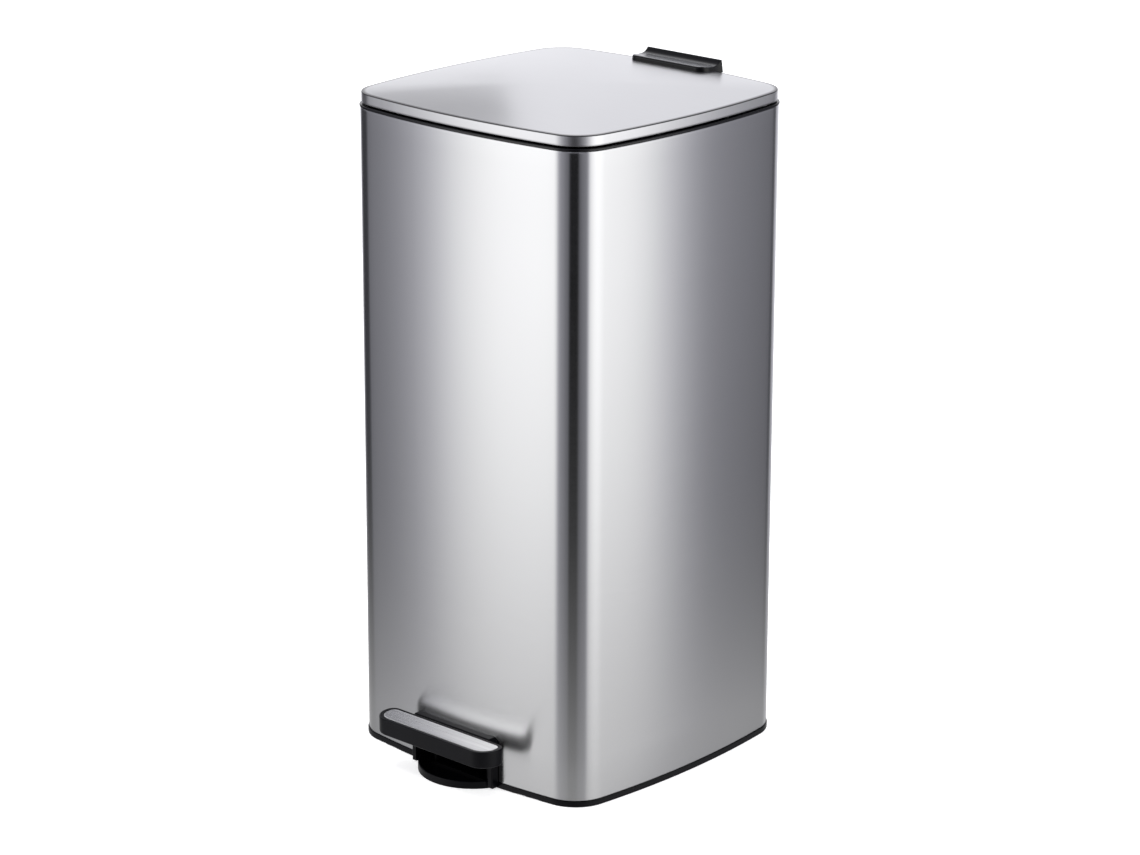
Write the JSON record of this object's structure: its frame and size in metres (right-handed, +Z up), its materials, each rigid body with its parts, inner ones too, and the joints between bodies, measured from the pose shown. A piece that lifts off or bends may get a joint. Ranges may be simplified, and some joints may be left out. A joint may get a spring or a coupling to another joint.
{
  "type": "pedal trash can",
  "caption": "Free-standing square pedal trash can with softly bulged brushed steel sides, a hinged shallow domed lid, a wide foot pedal in the front base and a lift-out inner bucket.",
  "frame": {"origin": "middle of the body's plan on the floor", "axes": "+Z up; the pedal side faces -Y, the hinge is on the +Y side and +X is to the right seen from the front"},
  "size_m": [0.3018, 0.3533, 0.6225],
  "materials": {
    "steel_body": "brushed, fine horizontal grain",
    "steel_lid": "brushed, fine grain",
    "steel_plate": "brushed",
    "black_base": "satin",
    "black_rim": "gloss",
    "black_bezel": "satin",
    "black_foot": "satin",
    "black_pedal": "satin",
    "black_cover": "satin",
    "black_housing": "satin",
    "grey_tunnel": "dark grey, satin",
    "black_liner": "satin",
    "grey_bucket": "fine texture",
    "black_guides": "satin",
    "rubber_feet": "matt",
    "rubber_bumpers": "matt",
    "zinc_lever": "zinc plated, black passivated",
    "zinc_rod": "zinc plated",
    "zinc_brackets": "zinc plated",
    "zinc_lid_bracket": "zinc plated",
    "steel_pins": "ground",
    "steel_clips": "plain",
    "steel_screws": "plain"
  },
  "bodies": {
    "base": {"base_frame": "black_base", "anti_slip_feet": "rubber_feet", "outer_shell": "steel_body", "top_rim": "black_rim", "pedal_bezel": "black_bezel", "front_foot": "black_foot", "lever_tunnel": "grey_tunnel", "tunnel_screws": "steel_screws", "pivot_brackets": "zinc_brackets", "bracket_screws": "steel_screws", "lever_pivot_pin": "steel_pins", "pivot_clips": "steel_clips", "rod_guides": "black_guides", "hinge_housing": "black_housing", "housing_screws": "steel_screws", "hinge_pin": "steel_pins", "hinge_clips": "steel_clips"},
    "lid": {"lid_shell": "steel_lid", "lid_liner": "black_liner", "lid_bracket": "zinc_lid_bracket", "hinge_cover": "black_cover", "lid_screws": "steel_screws", "lid_bumpers": "rubber_bumpers"},
    "pedal": {"pedal_lever": "zinc_lever", "pedal_pad": "black_pedal", "pedal_plate": "steel_plate", "pedal_screws": "steel_screws"},
    "rod": {"push_rod": "zinc_rod", "rod_lower_pin": "steel_pins", "rod_upper_pin": "steel_pins", "rod_clips": "steel_clips"},
    "bucket": {"inner_bucket": "grey_bucket"}
  },
  "joints": [
    {"name": "lid_hinge", "type": "hinge", "parent": "base", "child": "lid", "pos_m": [0, 0.158, 0.604], "axis": [-1, 0, 0], "range_deg": [0, 80]},
    {"name": "pedal_hinge", "type": "hinge", "parent": "base", "child": "pedal", "pos_m": [0, -0.0592, 0.024], "axis": [1, 0, 0], "range_deg": [0, 8.95]},
    {"name": "rod_slide", "type": "slide", "parent": "base", "child": "rod", "axis": [0, 0, 1], "range_m": [0, 0.0309]},
    {"name": "bucket_lift", "type": "slide", "parent": "base", "child": "bucket", "axis": [0, 0, 1], "range_m": [0, 0.003]}
  ],
  "couplings": [
    {"joint": "pedal_hinge", "follows": "lid_hinge", "ratio": 0.11175},
    {"joint": "rod_slide", "follows": "lid_hinge", "m_per_rad": 0.02212}
  ]
}
